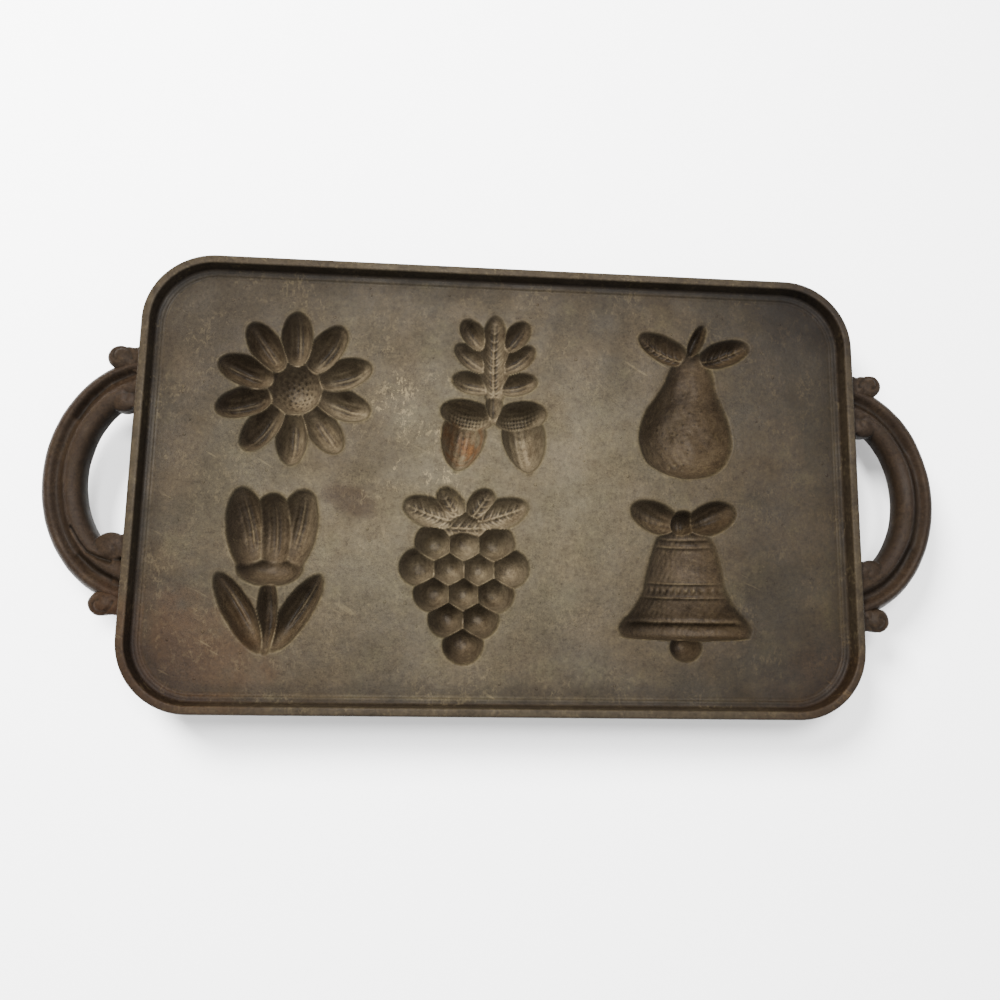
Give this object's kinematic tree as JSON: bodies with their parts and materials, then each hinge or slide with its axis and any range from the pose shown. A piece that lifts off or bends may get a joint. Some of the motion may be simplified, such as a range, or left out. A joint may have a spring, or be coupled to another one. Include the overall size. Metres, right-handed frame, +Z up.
{
  "type": "cast iron muffin pan",
  "caption": "Rectangular cast iron baking pan with a raised rim, relief moulds sunk into its deck in two rows, and an open scroll handle at each end.",
  "frame": {"origin": "under the middle of the pan, on the surface that its cup feet rest on", "axes": "+X along the length through both handles, +Y to the back row of moulds, +Z up out of the moulds"},
  "size_m": [0.3742, 0.1884, 0.0264],
  "materials": {
    "deck": "seasoned, brownish grey, fine sand-cast grain",
    "mould": "seasoned, dark brown, baked-on oil in the hollows",
    "rim": "seasoned, worn a little lighter on its flat land",
    "handle": "seasoned, dark brown with lighter worn ridges",
    "scroll": "seasoned, dark brown"
  },
  "bodies": {
    "root": {"rim": "rim", "baking_deck": "deck", "mould_back_left": "mould", "mould_back_middle": "mould", "mould_back_right": "mould", "mould_front_left": "mould", "mould_front_middle": "mould", "mould_front_right": "mould", "handle_left_bow": "handle", "handle_left_back_scroll": "scroll", "handle_left_front_scroll": "scroll", "handle_right_bow": "handle", "handle_right_back_scroll": "scroll", "handle_right_front_scroll": "scroll"}
  },
  "joints": []
}
